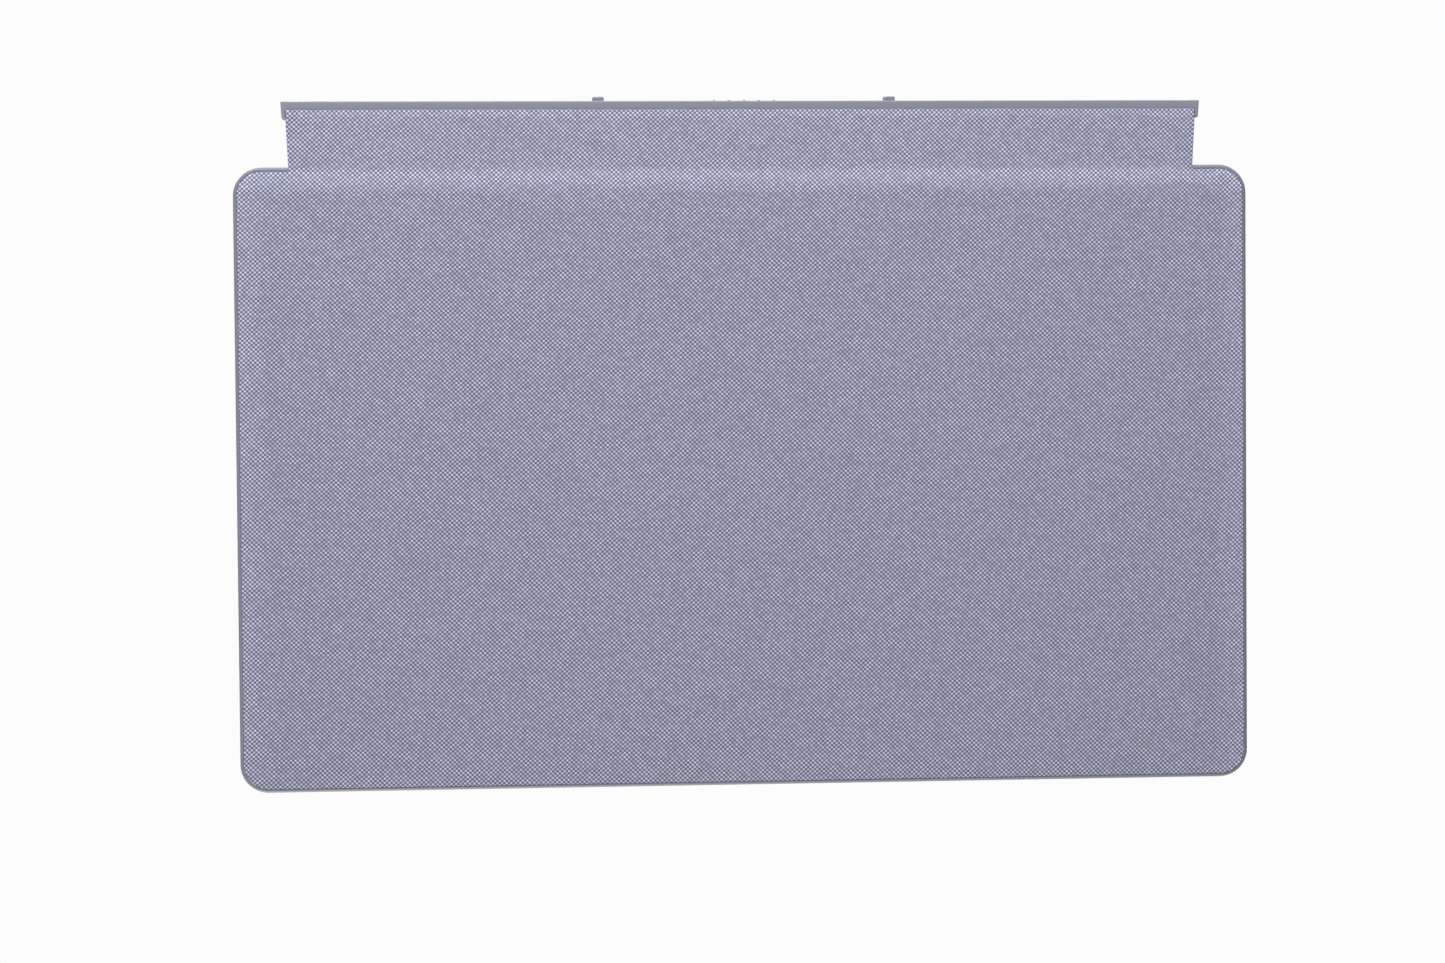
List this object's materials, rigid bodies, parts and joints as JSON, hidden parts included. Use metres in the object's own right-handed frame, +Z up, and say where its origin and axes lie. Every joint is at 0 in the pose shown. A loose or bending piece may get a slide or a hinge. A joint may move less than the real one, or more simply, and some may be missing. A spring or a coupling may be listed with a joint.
{
  "type": "tablet keyboard case",
  "caption": "Thin detachable tablet keyboard cover with a woven fabric back, a fabric flap and a docking bar with alignment posts and sprung contact pins.",
  "frame": {"origin": "centre of the whole footprint, on the surface that the fabric back rests on", "axes": "+X to the typist's right, along the longest side; +Y from the palm rest to the docking bar; +Z up, keys up"},
  "size_m": [0.306, 0.208, 0.0058],
  "materials": {
    "woven_fabric": "plain weave of pale lilac yarn over dark slate, matte",
    "lining_cloth": "fine smooth grey cloth",
    "rim_plastic": "fine satin moulded grey",
    "deck_plastic": "fine matte moulded grey",
    "bezel_plastic": "matte moulded dark grey",
    "key_plastic": "matte moulded charcoal with pale legends",
    "stiffener_laminate": "dark woven glass laminate",
    "plate_steel": "plated steel sheet",
    "dome_rubber": "translucent silicone",
    "circuit_board": "green solder mask",
    "touchpad_surface": "smooth satin coated grey",
    "flex_film": "amber polyimide film",
    "magnet_plating": "nickel plated",
    "post_metal": "bead blasted and anodised grey",
    "carrier_resin": "black glass-filled resin",
    "pin_plating": "gold flash over brass"
  },
  "bodies": {
    "keyboard": {"base_fabric": "woven_fabric", "base_stiffener": "stiffener_laminate", "rim_frame": "rim_plastic", "top_deck": "deck_plastic", "key_bezel": "bezel_plastic", "key_support_plate": "plate_steel", "dome_sheet": "dome_rubber", "controller_board": "circuit_board"},
    "flap": {"flap_fabric": "woven_fabric", "flap_flex": "flex_film", "flap_lining": "lining_cloth"},
    "dock_bar": {"bar_shell": "rim_plastic", "bar_cover": "rim_plastic", "bar_fabric": "woven_fabric", "bar_magnets": "magnet_plating", "post_left": "post_metal", "post_right": "post_metal", "pin_carrier": "carrier_resin"},
    "touchpad": {"touchpad_plate": "touchpad_surface"},
    "key_q": {"key_q": "key_plastic"},
    "key_w": {"key_w": "key_plastic"},
    "key_e": {"key_e": "key_plastic"},
    "key_r": {"key_r": "key_plastic"},
    "key_t": {"key_t": "key_plastic"},
    "key_y": {"key_y": "key_plastic"},
    "key_u": {"key_u": "key_plastic"},
    "key_i": {"key_i": "key_plastic"},
    "key_o": {"key_o": "key_plastic"},
    "key_p": {"key_p": "key_plastic"},
    "key_a": {"key_a": "key_plastic"},
    "key_s": {"key_s": "key_plastic"},
    "key_d": {"key_d": "key_plastic"},
    "key_f": {"key_f": "key_plastic"},
    "key_g": {"key_g": "key_plastic"},
    "key_h": {"key_h": "key_plastic"},
    "key_j": {"key_j": "key_plastic"},
    "key_k": {"key_k": "key_plastic"},
    "key_l": {"key_l": "key_plastic"},
    "key_z": {"key_z": "key_plastic"},
    "key_x": {"key_x": "key_plastic"},
    "key_c": {"key_c": "key_plastic"},
    "key_v": {"key_v": "key_plastic"},
    "key_b": {"key_b": "key_plastic"},
    "key_n": {"key_n": "key_plastic"},
    "key_m": {"key_m": "key_plastic"},
    "key_tab": {"key_tab": "key_plastic"},
    "key_caps": {"key_caps": "key_plastic"},
    "key_shift": {"key_shift": "key_plastic"},
    "key_space": {"key_space": "key_plastic"},
    "keys_upper_rows": {"keys_upper_rows": "key_plastic"},
    "keys_brackets": {"keys_brackets": "key_plastic"},
    "keys_enter": {"keys_enter": "key_plastic"},
    "keys_shift_right": {"keys_shift_right": "key_plastic"},
    "keys_bottom_left": {"keys_bottom_left": "key_plastic"},
    "keys_bottom_right": {"keys_bottom_right": "key_plastic"},
    "pin_1": {"pin_1": "pin_plating"},
    "pin_2": {"pin_2": "pin_plating"},
    "pin_3": {"pin_3": "pin_plating"},
    "pin_4": {"pin_4": "pin_plating"},
    "pin_5": {"pin_5": "pin_plating"}
  },
  "joints": [
    {"name": "bar_fold", "type": "hinge", "parent": "flap", "child": "dock_bar", "pos_m": [0, 0.09642, 0.00065], "axis": [1, 0, 0], "range_deg": [-90, 90]},
    {"name": "flap_fold", "type": "hinge", "parent": "keyboard", "child": "flap", "pos_m": [0, 0.08392, 0.00065], "axis": [1, 0, 0], "range_deg": [-90, 90]},
    {"name": "touchpad_click", "type": "hinge", "parent": "keyboard", "child": "touchpad", "pos_m": [0, -0.03662, 0.0052], "axis": [1, 0, 0], "range_deg": [0, 0.38], "stiffness_Nm_per_rad": 4.5, "springref_deg": -0.11},
    {"name": "pin_1_plunge", "type": "slide", "parent": "dock_bar", "child": "pin_1", "axis": [0, -1, 0], "range_m": [0, 0.0005], "stiffness_N_per_m": 600, "springref_m": -0.0004},
    {"name": "pin_5_plunge", "type": "slide", "parent": "dock_bar", "child": "pin_5", "axis": [0, -1, 0], "range_m": [0, 0.0005], "stiffness_N_per_m": 600, "springref_m": -0.0004},
    {"name": "key_space_press", "type": "slide", "parent": "keyboard", "child": "key_space", "axis": [0, 0, -1], "range_m": [0, 0.0013], "stiffness_N_per_m": 300, "springref_m": -0.0008},
    {"name": "keys_upper_rows_press", "type": "slide", "parent": "keyboard", "child": "keys_upper_rows", "axis": [0, 0, -1], "range_m": [0, 0.0013], "stiffness_N_per_m": 900, "springref_m": -0.0008},
    {"name": "key_q_press", "type": "slide", "parent": "keyboard", "child": "key_q", "axis": [0, 0, -1], "range_m": [0, 0.0013], "stiffness_N_per_m": 300, "springref_m": -0.0008},
    {"name": "key_w_press", "type": "slide", "parent": "keyboard", "child": "key_w", "axis": [0, 0, -1], "range_m": [0, 0.0013], "stiffness_N_per_m": 300, "springref_m": -0.0008},
    {"name": "key_e_press", "type": "slide", "parent": "keyboard", "child": "key_e", "axis": [0, 0, -1], "range_m": [0, 0.0013], "stiffness_N_per_m": 300, "springref_m": -0.0008},
    {"name": "key_r_press", "type": "slide", "parent": "keyboard", "child": "key_r", "axis": [0, 0, -1], "range_m": [0, 0.0013], "stiffness_N_per_m": 300, "springref_m": -0.0008},
    {"name": "key_t_press", "type": "slide", "parent": "keyboard", "child": "key_t", "axis": [0, 0, -1], "range_m": [0, 0.0013], "stiffness_N_per_m": 300, "springref_m": -0.0008},
    {"name": "key_y_press", "type": "slide", "parent": "keyboard", "child": "key_y", "axis": [0, 0, -1], "range_m": [0, 0.0013], "stiffness_N_per_m": 300, "springref_m": -0.0008},
    {"name": "key_u_press", "type": "slide", "parent": "keyboard", "child": "key_u", "axis": [0, 0, -1], "range_m": [0, 0.0013], "stiffness_N_per_m": 300, "springref_m": -0.0008},
    {"name": "key_i_press", "type": "slide", "parent": "keyboard", "child": "key_i", "axis": [0, 0, -1], "range_m": [0, 0.0013], "stiffness_N_per_m": 300, "springref_m": -0.0008},
    {"name": "key_o_press", "type": "slide", "parent": "keyboard", "child": "key_o", "axis": [0, 0, -1], "range_m": [0, 0.0013], "stiffness_N_per_m": 300, "springref_m": -0.0008},
    {"name": "key_p_press", "type": "slide", "parent": "keyboard", "child": "key_p", "axis": [0, 0, -1], "range_m": [0, 0.0013], "stiffness_N_per_m": 300, "springref_m": -0.0008},
    {"name": "key_a_press", "type": "slide", "parent": "keyboard", "child": "key_a", "axis": [0, 0, -1], "range_m": [0, 0.0013], "stiffness_N_per_m": 300, "springref_m": -0.0008},
    {"name": "key_s_press", "type": "slide", "parent": "keyboard", "child": "key_s", "axis": [0, 0, -1], "range_m": [0, 0.0013], "stiffness_N_per_m": 300, "springref_m": -0.0008},
    {"name": "key_d_press", "type": "slide", "parent": "keyboard", "child": "key_d", "axis": [0, 0, -1], "range_m": [0, 0.0013], "stiffness_N_per_m": 300, "springref_m": -0.0008},
    {"name": "key_f_press", "type": "slide", "parent": "keyboard", "child": "key_f", "axis": [0, 0, -1], "range_m": [0, 0.0013], "stiffness_N_per_m": 300, "springref_m": -0.0008},
    {"name": "key_g_press", "type": "slide", "parent": "keyboard", "child": "key_g", "axis": [0, 0, -1], "range_m": [0, 0.0013], "stiffness_N_per_m": 300, "springref_m": -0.0008},
    {"name": "key_h_press", "type": "slide", "parent": "keyboard", "child": "key_h", "axis": [0, 0, -1], "range_m": [0, 0.0013], "stiffness_N_per_m": 300, "springref_m": -0.0008},
    {"name": "key_j_press", "type": "slide", "parent": "keyboard", "child": "key_j", "axis": [0, 0, -1], "range_m": [0, 0.0013], "stiffness_N_per_m": 300, "springref_m": -0.0008},
    {"name": "key_k_press", "type": "slide", "parent": "keyboard", "child": "key_k", "axis": [0, 0, -1], "range_m": [0, 0.0013], "stiffness_N_per_m": 300, "springref_m": -0.0008},
    {"name": "key_l_press", "type": "slide", "parent": "keyboard", "child": "key_l", "axis": [0, 0, -1], "range_m": [0, 0.0013], "stiffness_N_per_m": 300, "springref_m": -0.0008},
    {"name": "key_z_press", "type": "slide", "parent": "keyboard", "child": "key_z", "axis": [0, 0, -1], "range_m": [0, 0.0013], "stiffness_N_per_m": 300, "springref_m": -0.0008},
    {"name": "key_x_press", "type": "slide", "parent": "keyboard", "child": "key_x", "axis": [0, 0, -1], "range_m": [0, 0.0013], "stiffness_N_per_m": 300, "springref_m": -0.0008},
    {"name": "key_c_press", "type": "slide", "parent": "keyboard", "child": "key_c", "axis": [0, 0, -1], "range_m": [0, 0.0013], "stiffness_N_per_m": 300, "springref_m": -0.0008},
    {"name": "key_v_press", "type": "slide", "parent": "keyboard", "child": "key_v", "axis": [0, 0, -1], "range_m": [0, 0.0013], "stiffness_N_per_m": 300, "springref_m": -0.0008},
    {"name": "key_b_press", "type": "slide", "parent": "keyboard", "child": "key_b", "axis": [0, 0, -1], "range_m": [0, 0.0013], "stiffness_N_per_m": 300, "springref_m": -0.0008},
    {"name": "key_n_press", "type": "slide", "parent": "keyboard", "child": "key_n", "axis": [0, 0, -1], "range_m": [0, 0.0013], "stiffness_N_per_m": 300, "springref_m": -0.0008},
    {"name": "key_m_press", "type": "slide", "parent": "keyboard", "child": "key_m", "axis": [0, 0, -1], "range_m": [0, 0.0013], "stiffness_N_per_m": 300, "springref_m": -0.0008},
    {"name": "key_tab_press", "type": "slide", "parent": "keyboard", "child": "key_tab", "axis": [0, 0, -1], "range_m": [0, 0.0013], "stiffness_N_per_m": 300, "springref_m": -0.0008},
    {"name": "key_caps_press", "type": "slide", "parent": "keyboard", "child": "key_caps", "axis": [0, 0, -1], "range_m": [0, 0.0013], "stiffness_N_per_m": 300, "springref_m": -0.0008},
    {"name": "key_shift_press", "type": "slide", "parent": "keyboard", "child": "key_shift", "axis": [0, 0, -1], "range_m": [0, 0.0013], "stiffness_N_per_m": 300, "springref_m": -0.0008},
    {"name": "keys_brackets_press", "type": "slide", "parent": "keyboard", "child": "keys_brackets", "axis": [0, 0, -1], "range_m": [0, 0.0013], "stiffness_N_per_m": 900, "springref_m": -0.0008},
    {"name": "keys_enter_press", "type": "slide", "parent": "keyboard", "child": "keys_enter", "axis": [0, 0, -1], "range_m": [0, 0.0013], "stiffness_N_per_m": 900, "springref_m": -0.0008},
    {"name": "keys_shift_right_press", "type": "slide", "parent": "keyboard", "child": "keys_shift_right", "axis": [0, 0, -1], "range_m": [0, 0.0013], "stiffness_N_per_m": 900, "springref_m": -0.0008},
    {"name": "keys_bottom_left_press", "type": "slide", "parent": "keyboard", "child": "keys_bottom_left", "axis": [0, 0, -1], "range_m": [0, 0.0013], "stiffness_N_per_m": 900, "springref_m": -0.0008},
    {"name": "keys_bottom_right_press", "type": "slide", "parent": "keyboard", "child": "keys_bottom_right", "axis": [0, 0, -1], "range_m": [0, 0.0013], "stiffness_N_per_m": 900, "springref_m": -0.0008},
    {"name": "pin_2_plunge", "type": "slide", "parent": "dock_bar", "child": "pin_2", "axis": [0, -1, 0], "range_m": [0, 0.0005], "stiffness_N_per_m": 600, "springref_m": -0.0004},
    {"name": "pin_3_plunge", "type": "slide", "parent": "dock_bar", "child": "pin_3", "axis": [0, -1, 0], "range_m": [0, 0.0005], "stiffness_N_per_m": 600, "springref_m": -0.0004},
    {"name": "pin_4_plunge", "type": "slide", "parent": "dock_bar", "child": "pin_4", "axis": [0, -1, 0], "range_m": [0, 0.0005], "stiffness_N_per_m": 600, "springref_m": -0.0004}
  ]
}
